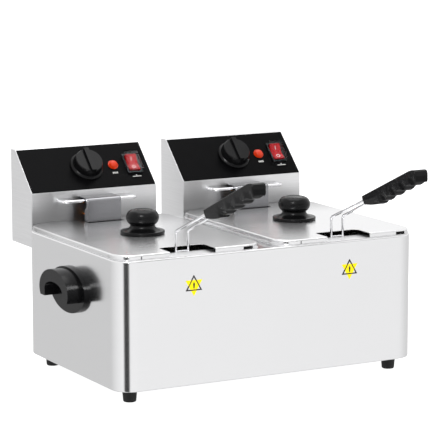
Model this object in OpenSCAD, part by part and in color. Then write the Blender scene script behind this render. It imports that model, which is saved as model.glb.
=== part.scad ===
// Countertop deep fryer with two oil wells, built from separate pieces.
// X runs across the front, Y from front to back, Z up. The origin lies on the
// resting plane, under the middle of the whole fryer's box.

/* [Casing] */
// Width of the casing across the front
casing_w = 500; // [470:1:620]
// Depth of the casing from front to rear
casing_d = 325; // [310:1:400]
// Height of the casing above the feet
casing_h = 190; // [175:1:240]
// Radius of the casing's upright corners
corner_r = 30; // [24:1:40]
// Thickness of the casing sheet
sheet_t = 1; // [0.8:0.1:1.5]
// Width of the lip turned in round the top
lip_w = 14; // [10:1:18]
// Width of the bridge between the two wells
bridge_w = 48; // [42:1:60]

/* [Feet] */
// Height of a rubber foot
foot_h = 19.5; // [12:0.5:30]
// Radius of a foot at its top
foot_r = 11; // [9:0.5:14]
// Distance of a foot's centre from the casing's sides
foot_inset = 30; // [26:1:45]

/* [Tank] */
// Inner width of a tank
tank_w = 186; // [176:1:196]
// Depth of the oil well below its rim
tank_deep = 138; // [120:1:150]
// Thickness of the tank sheet
tank_t = 1; // [0.8:0.1:1.5]
// Distance of the well's front wall from the casing front
well_front = 33.5; // [30:0.5:36]
// Distance of the well's rear wall from the casing rear
well_rear = 16.5; // [15:0.5:20]

/* [Lid] */
// Width of a lid
lid_w = 234; // [222:1:234]
// Height of a lid's top face above the deck
lid_rise = 8; // [7:0.5:12]
// Radius of a lid's corners
lid_r = 28; // [20:1:29]
// Width of the front notch for the basket handle
notch_w = 74; // [60:1:90]
// Depth of the front notch
notch_d = 41; // [41:1:46]
// Widest radius of the lid's knob
lid_knob_r = 33.3; // [28:0.1:38]

/* [Control head] */
// Width of a control head
head_w = 213; // [200:1:230]
// Depth of a control head
head_d = 78.5; // [74:0.5:95]
// Height of a control head above the deck
head_rise = 113.5; // [105:0.5:130]
// Height of the upright face between deck and slope
face_rise = 53; // [50:0.5:58]
// How far the head hangs below the deck
head_drop = 31; // [26:0.5:45]
// Depth of the flat strip on top of the head
head_top_d = 17; // [14:0.5:24]
// Radius of the thermostat knob's skirt
knob_r = 26.5; // [23:0.5:28]
// Width of the rocker switch's bezel
bezel_w = 25.5; // [24:0.5:28]
// Length of the rocker switch's bezel
bezel_l = 38; // [36:0.5:42]
// Radius of the pilot lamp
lamp_r = 8.2; // [7:0.1:9]

/* [Element guard] */
// Width of the guard plate
guard_w = 56; // [52:1:60]
// Height of the guard plate above the deck
guard_rise = 44.5; // [43:0.5:46]
// Distance of the guard plate from the head's face
guard_reach = 34.5; // [34:0.5:38]
// Width of the hanging rod
hanger_w = 130; // [110:1:150]
// Radius of the hanging rod
hanger_r = 2.75; // [2.5:0.05:3]

/* [Basket] */
// Gap between the basket and each side wall of its well
basket_side = 11; // [10:0.5:33]
// Gap behind the basket, for the heater's risers
basket_rear = 46.5; // [44:0.5:108]
// Height of the basket
basket_h = 98; // [70:1:100]
// Radius of the handle's wires
wire_r = 2; // [1.5:0.1:2]
// Distance between the handle's two wires at the basket
wire_gap = 20; // [16:1:26]
// Length of the plastic grip
grip_l = 148; // [130:1:180]
// Width of the plastic grip
grip_w = 22; // [20:0.5:26]
// Slope of the handle above level, in degrees
grip_tilt = 23.2; // [18:0.1:28]

/* [Side handles] */
// Length of a side handle's base
handle_l = 120; // [105:1:130]
// Height of a side handle's base
handle_h = 68; // [60:1:76]
// How far a side handle stands out
handle_out = 28; // [24:0.5:32]
// Height of a side handle's centre above the casing's bottom
handle_z = 124.5; // [110:0.5:130]

/* [Hidden] */
$fn = 48;
eps = 0.01;
// Sliding gap between pieces that lift off or pass through each other
gap = 0.5;
// Clearance round rods and tubes in their holes
fit = 0.05;
LEFT = -1;
RIGHT = 1;

deck_z = foot_h + casing_h;
rim_z = deck_z + tank_t;
unit_inset = 119;
unit_x = casing_w / 2 - unit_inset;

// Tank
flange_w = lid_w + 1.5;
well_back = casing_d - well_rear;
well_bottom = rim_z - tank_deep;
well_r = 28;

// Lid
lid_front = 2.5;
lid_back = casing_d - 3.5;
lid_z = deck_z + lid_rise;
lid_t = 1;
seat_gap = 0.2;
rear_notch_y = casing_d - guard_reach - 7;
slit_at = 34;
slit_w = 1.6;
open_relief = 16;

// Head
face_y = casing_d + gap;
head_back = face_y + head_d;
slope_run = head_d - head_top_d;
slope_rise = head_rise - face_rise;
slope_a = atan2(slope_rise, slope_run);
slope_l = norm([slope_run, slope_rise]);
head_low = deck_z - head_drop;
head_high = deck_z + head_rise;
slope_z = deck_z + face_rise;
panel_mid = slope_l / 2;
label_t = 0.5;
switch_x = head_w / 2 - 27;
lamp_x = switch_x - 33.5;
rocker_pivot_z = -2;
rocker_tilt = 1.5;
pin_r = 1.5;
cover_screw_x = head_w / 2 - 7;

// Element, sensors and guard
tube_r = 4;
tube_x = 10;
tube_y = casing_d - 27.5;
tube_z = deck_z + 16.5;
element_z = well_bottom + 14;
hanger_z = deck_z + 39.2;
hanger_y = casing_d - 20;
capillary_r = 1.5;
bulb_r = 3;
guard_y = face_y - guard_reach;

// Basket
basket_t = 1.2;
basket_top = rim_z - 7;
basket_y = well_front + 2.5 + 2 * wire_r;
wire_y = well_front + 1 + wire_r;
basket_w = tank_w - 2 * basket_side;
basket_d = well_back - basket_rear - basket_y;
bend_z = deck_z + 30.4;
wire_low = basket_top - 60;
wire_near = 6.4;
wire_bend = 5;
bead_in = 0.5;
bead_out = 0.1;
grip_drop = 13;
grip_run = 87.5;
grip_run_in = 60;

// The grip's tip, in steps along and down from the straight back
tip_in = 1.5;
tip_down = 20;
tip_curve = 19;
tip_fall = 5.2;

// The box of the whole fryer along Y, from the grip's tip to the cable gland
wire_line = [wire_y - grip_run, bend_z + grip_run * tan(grip_tilt)];
grip_root = wire_line + grip_drop / 2 * [sin(grip_tilt), cos(grip_tilt)];
tip_y = grip_root[0] - (grip_l - tip_in) * cos(grip_tilt) - tip_down * sin(grip_tilt);
gland_out = 14;
far_y = head_back + gland_out;
mid_y = (tip_y + far_y) / 2;

// Caution triangles on the front
caution_z = 146.8;
caution_r = 15.5;
caution_t = 0.4;

// Side handle
hood_a = 49.5;
hood_b = 31.7;
hood_wall = 18.5;
handle_plate = 6;

steel = "silver";
black = [0.12, 0.12, 0.13];

// ---------- placing ----------

module placed() {
    translate([0, -mid_y, 0]) children();
}

module on_side(side) {
    placed() translate([side * unit_x, 0, 0]) children();
}

// X across, Y up the slope, Z out of the control panel
module on_panel() {
    translate([0, face_y, slope_z]) rotate([slope_a, 0, 0]) children();
}

// Along the basket handle: X across, Y towards the tip, Z up from its top face
module on_grip() {
    translate([0, grip_root[0], grip_root[1]])
        rotate([0, 0, 180]) rotate([grip_tilt, 0, 0]) children();
}

// ---------- shared shapes ----------

// Rounded rectangle from x0, y0 to x1, y1 made of squares and circles
module round_rect(x0, y0, x1, y1, r) {
    translate([x0 + r, y0]) square([x1 - x0 - 2 * r, y1 - y0]);
    translate([x0, y0 + r]) square([x1 - x0, y1 - y0 - 2 * r]);
    for (x = [x0 + r, x1 - r]) {
        for (y = [y0 + r, y1 - r]) {
            translate([x, y]) circle(r = r, $fn = 96);
        }
    }
}

module slab(x0, y0, x1, y1, r, z0, z1) {
    translate([0, 0, z0]) linear_extrude(z1 - z0) round_rect(x0, y0, x1, y1, r);
}

module block(low, high) {
    translate(low) cube(high - low);
}

module bar_x(p, half, r) {
    translate([-half, p[0], p[1]]) rotate([0, 90, 0]) cylinder(h = 2 * half, r = r);
}

function unit(v) = v / norm(v);

// A straight stretch of rod between two points
module rod(a, b, r) {
    d = b - a;
    translate(a)
        rotate([0, acos(d[2] / norm(d)), atan2(d[1], d[0])])
            cylinder(h = norm(d), r = r);
}

// The quarter or part ring that joins two stretches of rod at corner p
module elbow(p, d1, d2, bend, r) {
    th = acos(d1 * d2);
    t = bend * tan(th / 2);
    n = unit(d2 - d1 * (d1 * d2));
    c = p - d1 * t + n * bend;
    z = cross(-n, d1);
    multmatrix([
        [-n[0], d1[0], z[0], c[0]],
        [-n[1], d1[1], z[1], c[1]],
        [-n[2], d1[2], z[2], c[2]],
        [0, 0, 0, 1]
    ])
        rotate_extrude(angle = th) translate([bend, 0]) circle(r = r);
}

// Round bar bent along a list of points
module bent_rod(points, bend, r) {
    last = len(points) - 1;
    for (i = [0:last - 1]) {
        d = unit(points[i + 1] - points[i]);
        before = i == 0 ? 0 : trim(points, i, bend);
        after = i == last - 1 ? 0 : trim(points, i + 1, bend);
        rod(points[i] + d * before, points[i + 1] - d * after, r);
    }
    for (i = [1:last - 1]) {
        elbow(points[i], unit(points[i] - points[i - 1]), unit(points[i + 1] - points[i]), bend, r);
    }
}

// How much of a stretch the elbow at point i takes up
function trim(points, i, bend) =
    bend * tan(acos(unit(points[i] - points[i - 1]) * unit(points[i + 1] - points[i])) / 2);

module ellipse(a, b) {
    polygon([for (i = [0:59]) [a * cos(i * 6), b * sin(i * 6)]]);
}

// Pan-head screw, head downwards at z = 0 and shank upwards
module pan_screw(head_r, head_h, shank_r, shank_l) {
    difference() {
        translate([0, 0, -head_h]) cylinder(h = head_h, r = head_r);
        translate([-head_r * 0.6, -0.4, -head_h - eps]) cube([head_r * 1.2, 0.8, 0.8]);
        translate([-0.4, -head_r * 0.6, -head_h - eps]) cube([0.8, head_r * 1.2, 0.8]);
    }
    cylinder(h = shank_l, r = shank_r);
}

// ---------- casing ----------

module casing_outline(inset) {
    round_rect(-casing_w / 2 + inset, inset, casing_w / 2 - inset, casing_d - inset,
        corner_r - inset);
}

module casing_shell() {
    color(steel) difference() {
        translate([0, 0, foot_h]) linear_extrude(casing_h) casing_outline(0);
        translate([0, 0, foot_h + sheet_t]) linear_extrude(casing_h - 2 * sheet_t)
            casing_outline(sheet_t);
        translate([0, 0, deck_z - 2 * sheet_t]) linear_extrude(4 * sheet_t)
            casing_outline(lip_w);
        translate([0, 0, foot_h - sheet_t]) linear_extrude(3 * sheet_t)
            casing_outline(lip_w);
        for (side = [LEFT, RIGHT]) {
            handle_bolts(side) cylinder(h = 8 * sheet_t, r = 2.2, center = true);
        }
    }
}

module base_plate() {
    color("darkgray") difference() {
        translate([0, 0, foot_h + sheet_t]) linear_extrude(sheet_t) casing_outline(sheet_t + gap);
        at_feet() cylinder(h = 20, r = 2.2, center = true);
        for (x = [-150:60:150]) {
            for (i = [0:4]) {
                translate([x - 15, casing_d / 2 - 42 + i * 20, 0])
                    cube([30, 4, 2 * foot_h + 8]);
            }
        }
    }
}

module deck_divider() {
    half = bridge_w / 2;
    color(steel) {
        block([-half, lip_w, deck_z - sheet_t], [half, casing_d - lip_w, deck_z]);
        block([-half, 3, deck_z - 2 * sheet_t], [half, casing_d - 3, deck_z - sheet_t]);
        for (x = [-half, half - sheet_t]) {
            block([x, lip_w + 8, deck_z - 13], [x + sheet_t, casing_d - lip_w - 8, deck_z]);
        }
    }
}

module at_feet() {
    for (x = [-casing_w / 2 + foot_inset, casing_w / 2 - foot_inset]) {
        for (y = [foot_inset, casing_d - foot_inset]) {
            translate([x, y, foot_h]) children();
        }
    }
}

// A foot hangs from the base plate through the casing's open bottom
module feet() {
    color(black) at_feet() rotate_extrude() polygon([
        [2.1, -foot_h + 4], [foot_r - 5, -foot_h + 4], [foot_r - 5, -foot_h],
        [foot_r - 2.6, -foot_h], [foot_r - 1.5, -foot_h + 1.2], [foot_r, -1.5],
        [foot_r, sheet_t], [2.1, sheet_t]
    ]);
}

// Screws that hold the feet, from below, and the side handles, from inside
module body_screws() {
    color("gainsboro") {
        at_feet() translate([0, 0, -foot_h + 4]) pan_screw(4, 2.2, 2, foot_h + 2);
        for (side = [LEFT, RIGHT]) {
            handle_bolts(side) translate([0, 0, -sheet_t]) pan_screw(4, 2.2, 2, 12);
        }
    }
}

// Z points outwards from the casing's side
module at_handle(side) {
    translate([side * casing_w / 2, casing_d / 2, foot_h + handle_z])
        rotate([90, 0, side * 90]) children();
}

module handle_bolts(side) {
    at_handle(side) for (x = [-1, 1]) {
        translate([x * 38, 8, 0]) children();
    }
}

// Oval base with a hood over the fingers
module side_handle() {
    difference() {
        union() {
            linear_extrude(handle_plate) ellipse(handle_l / 2, handle_h / 2);
            intersection() {
                linear_extrude(handle_out) ellipse(hood_a, hood_b);
                translate([-hood_a, -12, 0]) cube([2 * hood_a, hood_b + 14, handle_out]);
            }
        }
        translate([0, 0, handle_plate]) linear_extrude(handle_out)
            ellipse(hood_a - hood_wall, hood_b - hood_wall);
        translate([-hood_a + hood_wall, -40, handle_plate])
            cube([2 * (hood_a - hood_wall), 40, handle_out]);
        for (x = [-1, 1]) {
            translate([x * 38, 8, -eps]) cylinder(h = 12, r = 2 + fit);
        }
    }
}

module side_handles() {
    color(black) for (side = [LEFT, RIGHT]) {
        at_handle(side) side_handle();
    }
}

module caution_labels() {
    color("gold") for (side = [LEFT, RIGHT]) {
        translate([side * unit_x, 0, foot_h + caution_z]) rotate([90, 90, 0])
            cylinder(h = caution_t, r = caution_r, $fn = 3);
    }
}

// ---------- tank ----------

module tank() {
    well = tank_w / 2;
    color("lightgray") difference() {
        union() {
            slab(-flange_w / 2, 1.5, flange_w / 2, casing_d - 1.5, lid_r, deck_z, rim_z);
            slab(-well - tank_t, well_front - tank_t, well + tank_t, well_back + tank_t,
                well_r + tank_t, well_bottom - tank_t, rim_z);
        }
        slab(-well, well_front, well, well_back, well_r, well_bottom, rim_z + 1);
    }
}

// ---------- control head ----------

// Side outline of the head, moved inwards by t
function head_outline(t, back) = [
    [face_y + t, head_low + t],
    [face_y + t, slope_z + t * tan(slope_a) - t / cos(slope_a)],
    [face_y + (head_high - t - slope_z + t / cos(slope_a)) / tan(slope_a), head_high - t],
    [back, head_high - t],
    [back, head_low + t]
];

module across(w, points) {
    translate([-w / 2, 0, 0]) rotate([90, 0, 90]) linear_extrude(w) polygon(points);
}

module at_cover_screws() {
    for (x = [-cover_screw_x, cover_screw_x]) {
        for (z = [head_low + 20, head_high - 24]) {
            translate([x, head_back, z]) rotate([90, 0, 0]) children();
        }
    }
}

module through_face(x, z, r) {
    translate([x, face_y - 5, z]) rotate([-90, 0, 0]) cylinder(h = 12, r = r);
}

module housing() {
    back = head_back - sheet_t;
    color(steel) difference() {
        union() {
            difference() {
                across(head_w, head_outline(0, back));
                across(head_w - 2 * sheet_t, head_outline(sheet_t, back + 1));
            }
            // Lips that the back cover is screwed to
            for (side = [LEFT, RIGHT]) {
                mid = side * (head_w / 2 - 7.5);
                block([mid - 6.6, back - 2, head_low + 4], [mid + 6.6, back, head_high - 6]);
            }
            saddle();
        }
        on_panel() {
            translate([0, panel_mid, -8]) cylinder(h = 16, r = 5);
            translate([lamp_x, panel_mid, -8]) cylinder(h = 16, r = lamp_r - 2);
            translate([switch_x - bezel_w / 2 + 2, panel_mid - bezel_l / 2 + 2, -8])
                cube([bezel_w - 4, bezel_l - 4, 16]);
        }
        for (side = [LEFT, RIGHT]) {
            through_face(side * tube_x, tube_z, tube_r + fit);
            through_face(side * (hanger_w / 2 - hanger_r), hanger_z, hanger_r + fit);
        }
        for (x = [-20, 20]) {
            through_face(x, tube_z, capillary_r + fit);
        }
        at_cover_screws() cylinder(h = 20, r = 1.5 + fit, center = true);
    }
}

// Hook that rests on the tank's rear rim and locates the head
module saddle() {
    y0 = well_back - 4;
    block([-26, y0, rim_z + seat_gap], [26, face_y + sheet_t, rim_z + seat_gap + 1.2]);
    block([-26, y0, rim_z - 12], [-15, y0 + 1.2, rim_z + seat_gap + 1.2]);
    block([15, y0, rim_z - 12], [26, y0 + 1.2, rim_z + seat_gap + 1.2]);
}

module back_cover() {
    color(steel) difference() {
        block([-head_w / 2, head_back - sheet_t, head_low], [head_w / 2, head_back, head_high]);
        at_cover_screws() cylinder(h = 20, r = 1.5 + fit, center = true);
        translate([0, head_back - 10, head_low + 24]) rotate([-90, 0, 0]) cylinder(h = 20, r = 8);
        at_reset() translate([0, 0, -10]) cylinder(h = 20, r = 5 + fit);
        for (i = [0:5]) {
            block([30, head_back - 5, head_low + 50 + i * 9],
                [74, head_back + 5, head_low + 53 + i * 9]);
        }
    }
}

module control_label() {
    color(black) on_panel() difference() {
        slab(-head_w / 2 + 0.8, 0.5, head_w / 2 - 1.2, slope_l - 1.2, 1, 0, label_t);
        translate([0, panel_mid, -1]) cylinder(h = 3, r = 5.5);
        translate([lamp_x, panel_mid, -1]) cylinder(h = 3, r = lamp_r - 1.5);
        translate([switch_x - bezel_w / 2 + 1.5, panel_mid - bezel_l / 2 + 1.5, -1])
            cube([bezel_w - 3, bezel_l - 3, 3]);
    }
}

module heat_lamp() {
    color("orangered") on_panel() translate([lamp_x, panel_mid, label_t]) {
        rotate_extrude() polygon(concat(
            [[0, 0], [lamp_r, 0], [lamp_r, 1.5]],
            [for (i = [0:8]) [
                (lamp_r - 1) * cos(i * 90 / 8),
                1.5 + (lamp_r - 3) * sin(i * 90 / 8)
            ]]
        ));
        translate([0, 0, -18]) cylinder(h = 18 + eps, r = lamp_r - 2.3);
    }
}

module switch_body() {
    w = bezel_w - 4.6;
    l = bezel_l - 4.6;
    color(black) on_panel() translate([switch_x, panel_mid, label_t]) difference() {
        union() {
            slab(-bezel_w / 2, -bezel_l / 2, bezel_w / 2, bezel_l / 2, 1.5, 0, 2);
            block([-w / 2, -l / 2, -24], [w / 2, l / 2, eps]);
            for (y = [-10, 0, 10]) {
                block([-0.4, y - 3, -33], [0.4, y + 3, -24 + eps]);
            }
        }
        block([-w / 2 + 1, -l / 2 + 1.5, -12], [w / 2 - 1, l / 2 - 1.5, 5]);
        translate([-w / 2 + 0.3, 0, rocker_pivot_z])
            rotate([0, 90, 0]) cylinder(h = w - 0.6, r = pin_r + fit);
    }
}

// Clear splash cover that clips over the bezel
module switch_cover() {
    color([0.9, 0.9, 0.95, 0.4]) on_panel() translate([switch_x, panel_mid, label_t + 2])
        difference() {
            slab(-bezel_w / 2 + 0.6, -bezel_l / 2 + 0.6, bezel_w / 2 - 0.6, bezel_l / 2 - 0.6,
                2.5, 0, 9);
            slab(-bezel_w / 2 + 1.6, -bezel_l / 2 + 1.6, bezel_w / 2 - 1.6, bezel_l / 2 - 1.6,
                1.5, -1, 8);
        }
}

// The rocker pivots across the switch, below the bezel, and rests tilted
module rocker() {
    w = bezel_w - 7.2;
    reach = bezel_l / 2 - 5;
    color("crimson") on_panel() translate([switch_x, panel_mid, label_t + rocker_pivot_z])
        rotate([90, 0, 90]) translate([0, 0, -w / 2]) linear_extrude(w) polygon(concat(
            [for (i = [-6:6]) [
                i / 6 * reach,
                3.6 + 3.4 * (i / 6) * (i / 6) + rocker_tilt * i / 6
            ]],
            [[reach - 1.5, 1.2], [3, -5], [-3, -5], [-reach + 1.5, -1.2]]
        ));
    color("crimson") on_panel()
        translate([switch_x - w / 2 - 0.8, panel_mid, label_t + rocker_pivot_z])
            rotate([0, 90, 0]) cylinder(h = w + 1.6, r = pin_r);
}

module thermostat() {
    color("tan") on_panel() translate([0, panel_mid, 0]) difference() {
        union() {
            translate([0, 0, -sheet_t - 2]) cylinder(h = 2, r = 19);
            block([-20, -16, -24], [20, 16, -sheet_t - 2 + eps]);
            translate([0, 0, -sheet_t - eps]) cylinder(h = sheet_t + label_t, r = 4.8);
        }
        translate([0, 0, -16]) cylinder(h = 30, r = 3 + fit);
    }
}

module knob_shaft() {
    color("gainsboro") on_panel() translate([0, panel_mid, -15]) difference() {
        cylinder(h = 29, r = 3);
        block([1.6, -4, 18], [4, 4, 30]);
    }
}

module knob() {
    color(black) on_panel() translate([0, panel_mid, label_t + 0.3]) difference() {
        union() {
            rotate_extrude($fn = 96) polygon([
                [0, 0], [knob_r, 0], [knob_r, 3], [knob_r - 1.5, 4.5], [knob_r - 3, 5.5],
                [knob_r - 4.5, 16], [knob_r - 5.5, 17.5], [0, 17.5]
            ]);
            intersection() {
                translate([0, 0, 12]) linear_extrude(9.5) round_rect(-4, -22, 4, 22, 1.2);
                cylinder(h = 30, r = knob_r - 4.5);
            }
        }
        difference() {
            translate([0, 0, -1]) cylinder(h = 15, r = 3);
            block([1.6, -4, 2.2], [4, 4, 20]);
        }
        translate([0, 0, -1]) cylinder(h = 3.5, r = 3.2);
    }
}

// Z points out of the back cover
module at_reset() {
    translate([-60, head_back, head_low + 28]) rotate([-90, 0, 0]) children();
}

module limiter() {
    color("sienna") at_reset() difference() {
        union() {
            translate([0, 0, -sheet_t - 26]) cylinder(h = 26, r = 11);
            translate([0, 0, -sheet_t - eps]) cylinder(h = sheet_t + 4, r = 5);
            cylinder(h = 2.5, r = 8);
        }
        translate([0, 0, -14]) cylinder(h = 30, r = 3 + fit);
    }
}

module reset_button() {
    color("red") at_reset() translate([0, 0, -10]) cylinder(h = 16.5, r = 3);
}

module terminal_block() {
    color("ivory") difference() {
        block([34, face_y + 22, head_low + sheet_t], [90, face_y + 42, head_low + 17]);
        for (i = [0:4]) {
            translate([40 + i * 11, face_y + 32, head_low + 8]) cylinder(h = 20, r = 3);
        }
    }
}

module cable_gland() {
    color(black) translate([0, head_back, head_low + 24]) rotate([-90, 0, 0]) difference() {
        union() {
            cylinder(h = 5, r = 12, $fn = 6);
            translate([0, 0, 5 - eps]) cylinder(h = gland_out - 5, r1 = 10, r2 = 7.5);
            translate([0, 0, -10]) cylinder(h = 10 + eps, r = 7.9);
            translate([0, 0, -sheet_t - 4]) cylinder(h = 4, r = 11, $fn = 6);
        }
        translate([0, 0, -11]) cylinder(h = gland_out + 20, r = 4.5);
    }
}

// Stops the heat when the head is lifted off the casing
module interlock_switch() {
    color("dimgray") {
        block([-90, face_y + sheet_t, head_low + 6], [-70, face_y + 11, head_low + 16]);
        block([-84, face_y + 11 - eps, head_low + 9], [-83, face_y + 18, head_low + 13]);
        block([-77, face_y + 11 - eps, head_low + 9], [-76, face_y + 18, head_low + 13]);
    }
}

// Tubular heater: down behind the basket, along the bottom and back up
module element() {
    in_y = face_y + 14;
    mid = well_front + 36;
    outer = tank_w / 2 - 26;
    low = element_z;
    path = [
        [tube_x, in_y, tube_z],
        [tube_x, tube_y, tube_z],
        [tube_x, tube_y, low],
        [tube_x, mid + 40, low],
        [outer / 2 + 2, mid + 40, low],
        [outer / 2 + 2, tube_y - 20, low],
        [outer, tube_y - 20, low],
        [outer, mid, low]
    ];
    color("dimgray") {
        bent_rod(concat(path, [for (i = [7:-1:0]) [-path[i][0], path[i][1], path[i][2]]]),
            8, tube_r);
        for (side = [LEFT, RIGHT]) {
            translate([side * tube_x, face_y, tube_z]) rotate([90, 0, 0]) difference() {
                cylinder(h = 3, r = 7);
                translate([0, 0, -1]) cylinder(h = 5, r = tube_r - 1);
            }
        }
    }
}

// Plate that keeps the lid and the basket off the heater's risers
module element_guard() {
    half = guard_w / 2;
    top = deck_z + guard_rise;
    low = rim_z + seat_gap + 1.2;
    color(steel) difference() {
        union() {
            block([-half, guard_y, low], [half, guard_y + sheet_t, top]);
            block([-half, guard_y, top - sheet_t], [half, face_y, top]);
            for (x = [-half, half - sheet_t]) {
                block([x, guard_y, low], [x + sheet_t, guard_y + 13, top]);
            }
        }
        // Arched cut-outs for the hanging rod and the sensors
        bar_x([guard_y + 14, hanger_z - 5], half + 1, 8);
    }
}

module hanger_rod() {
    leg = hanger_w / 2 - hanger_r;
    color("white") {
        bent_rod([
            [-leg, face_y + 6, hanger_z],
            [-leg, hanger_y, hanger_z],
            [leg, hanger_y, hanger_z],
            [leg, face_y + 6, hanger_z]
        ], 8, hanger_r);
        for (side = [LEFT, RIGHT]) {
            translate([side * leg, face_y + sheet_t, hanger_z]) rotate([-90, 0, 0])
                cylinder(h = 3, r = 5);
        }
    }
}

// Copper lines of the thermostat and the limiter, each with its bulb
module sensor_bulbs() {
    bulb_z = element_z + 13;
    color("sienna") for (x = [-20, 20]) {
        bent_rod([
            [x, face_y + 24, tube_z],
            [x, tube_y + 1, tube_z],
            [x, tube_y + 1, bulb_z],
            [x, tube_y - 60, bulb_z]
        ], 7, capillary_r);
        translate([x, tube_y - 140, bulb_z]) rotate([-90, 0, 0]) cylinder(h = 90, r = bulb_r);
    }
}

module head_screws() {
    color("gainsboro") at_cover_screws() pan_screw(3, 2, 1.5, 8);
}

// ---------- basket ----------

module basket_box(inset, r, z0, z1) {
    slab(-basket_w / 2 + inset, basket_y + inset, basket_w / 2 - inset,
        basket_y + basket_d - inset, r, z0, z1);
}

module basket() {
    low = basket_top - basket_h;
    half = wire_gap / 2 + wire_r;
    pad_y = wire_y + wire_r;
    color("gainsboro") difference() {
        union() {
            basket_box(2, 18, low, basket_top);
            basket_box(0, 20, basket_top - 4, basket_top);
            // Pads the handle's wires are welded to
            block([-half, pad_y, basket_top - 4], [half, basket_y + eps, basket_top]);
            block([-half, pad_y, basket_top - 50], [half, basket_y + 2 + eps, basket_top - 44]);
        }
        basket_box(2 + basket_t, 18 - basket_t, low + basket_t, basket_top + 1);
    }
}

// Round wire in straight stretches with a bead at each bend
module beaded_rod(points) {
    last = len(points) - 1;
    for (i = [0:last - 1]) {
        d = unit(points[i + 1] - points[i]);
        rod(points[i] + d * bead_in, points[i + 1] - d * bead_in, wire_r);
    }
    for (i = [1:last - 1]) {
        translate(points[i]) sphere(r = wire_r + bead_out);
    }
}

// One wire bent to a U: welded to the basket's pads, up through the lid's notch, into the grip
module handle_wires() {
    half = wire_gap / 2;
    drop = grip_drop / 2;
    inside = grip_run_in * [-cos(grip_tilt), sin(grip_tilt)];
    end = grip_root + inside - drop * [sin(grip_tilt), cos(grip_tilt)];
    path = [
        [wire_near, end[0], end[1]],
        [half, wire_y - wire_bend * cos(grip_tilt), bend_z + wire_bend * sin(grip_tilt)],
        [half, wire_y, bend_z - wire_bend],
        [half, wire_y, wire_low + wire_bend],
        [half - wire_bend, wire_y, wire_low]
    ];
    color("gainsboro") {
        beaded_rod(concat(path, [for (i = [4:-1:0]) [-path[i][0], path[i][1], path[i][2]]]));
        // Cross wire at the level of the rim
        rod([1 - half, wire_y, rim_z], [half - 1, wire_y, rim_z], wire_r * 0.7);
    }
}

// Four finger hollows under a straight back, turned down at the tip
function grip_underside(u) =
    u < 40 ? -13 - 8.5 * sin(u / 40 * 90)
           : -19.8 - 1.9 * cos((u - 53) / 27 * 360);

module grip() {
    tip = grip_l;
    back = concat(
        [[0, 0], [tip - tip_curve, 0]],
        [for (i = [1:6]) [
            tip - tip_curve + tip_curve * sin(i * 15),
            -tip_fall * (1 - cos(i * 15))
        ]]
    );
    under = [for (i = [40:-1:0]) [(tip - 8) * i / 40, grip_underside((tip - 8) * i / 40)]];
    color(black) on_grip() translate([-grip_w / 2, 0, 0])
        rotate([90, 0, 90]) linear_extrude(grip_w)
            polygon(concat(
                back,
                [[tip - tip_in, -tip_down], [tip - 5, -tip_down - 1]],
                under
            ));
}

// ---------- lid ----------

module lid() {
    half = lid_w / 2;
    low = rim_z + seat_gap;
    color(steel) difference() {
        slab(-half, lid_front, half, lid_back, lid_r, low, lid_z);
        slab(-half + lid_t, lid_front + lid_t, half - lid_t, lid_back - lid_t, lid_r - lid_t,
            low - 1, lid_z - lid_t);
        // Front notch for the basket handle, open to the front
        slab(-notch_w / 2, -20, notch_w / 2, notch_d, 7, low - 1, lid_z + 1);
        // Rear notch round the element guard
        block([-guard_w / 2 - 2.5, rear_notch_y, low - 1],
            [guard_w / 2 + 2.5, casing_d, lid_z + 1]);
        // Relief cuts where the skirt leaves the corners
        block([-half + slit_at, lid_front - 1, low - 1],
            [-half + slit_at + slit_w, lid_front + 3, lid_z - lid_t]);
        block([half - slit_at, lid_front - 1, low - 1],
            [half - slit_at + open_relief, lid_front + 3, lid_z - lid_t]);
        for (y = [lid_front + slit_at, lid_back - slit_at]) {
            block([-half - 1, y, low - 1], [-half + 3, y + slit_w, lid_z - lid_t]);
            block([half - 3, y, low - 1], [half + 1, y + slit_w, lid_z - lid_t]);
        }
        translate([0, casing_d / 2, low - 1]) cylinder(h = 20, r = 2.6);
    }
}

module lid_knob() {
    r = lid_knob_r;
    color(black) translate([0, casing_d / 2, lid_z]) {
        rotate_extrude($fn = 96) polygon(concat(
            [[0, 0], [r - 1.5, 0], [r, 1.2], [r, 4.2], [r - 0.8, 5]],
            [for (i = [0:8]) [
                r * 0.55 + (r * 0.45 - 0.8) * (1 - sin(i * 90 / 8)),
                5 + 8 * (1 - cos(i * 90 / 8))
            ]],
            [for (i = [0:14]) [
                r * 0.45 + r * 0.29 * cos(-66 + i * 146 / 14),
                24.4 + 11.2 * sin(-66 + i * 146 / 14)
            ]],
            [[r * 0.45, 35.9], [r * 0.4, 35.2], [0, 34.6]]
        ));
        // Moulded-in stud and its nut under the lid
        translate([0, 0, -5]) cylinder(h = 6, r = 2.5);
        translate([0, 0, -5]) cylinder(h = 4, r = 5, $fn = 6);
    }
}

// ---------- drawing ----------

placed() casing_shell();
placed() base_plate();
placed() deck_divider();
placed() feet();
placed() body_screws();
placed() side_handles();
placed() caution_labels();

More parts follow.
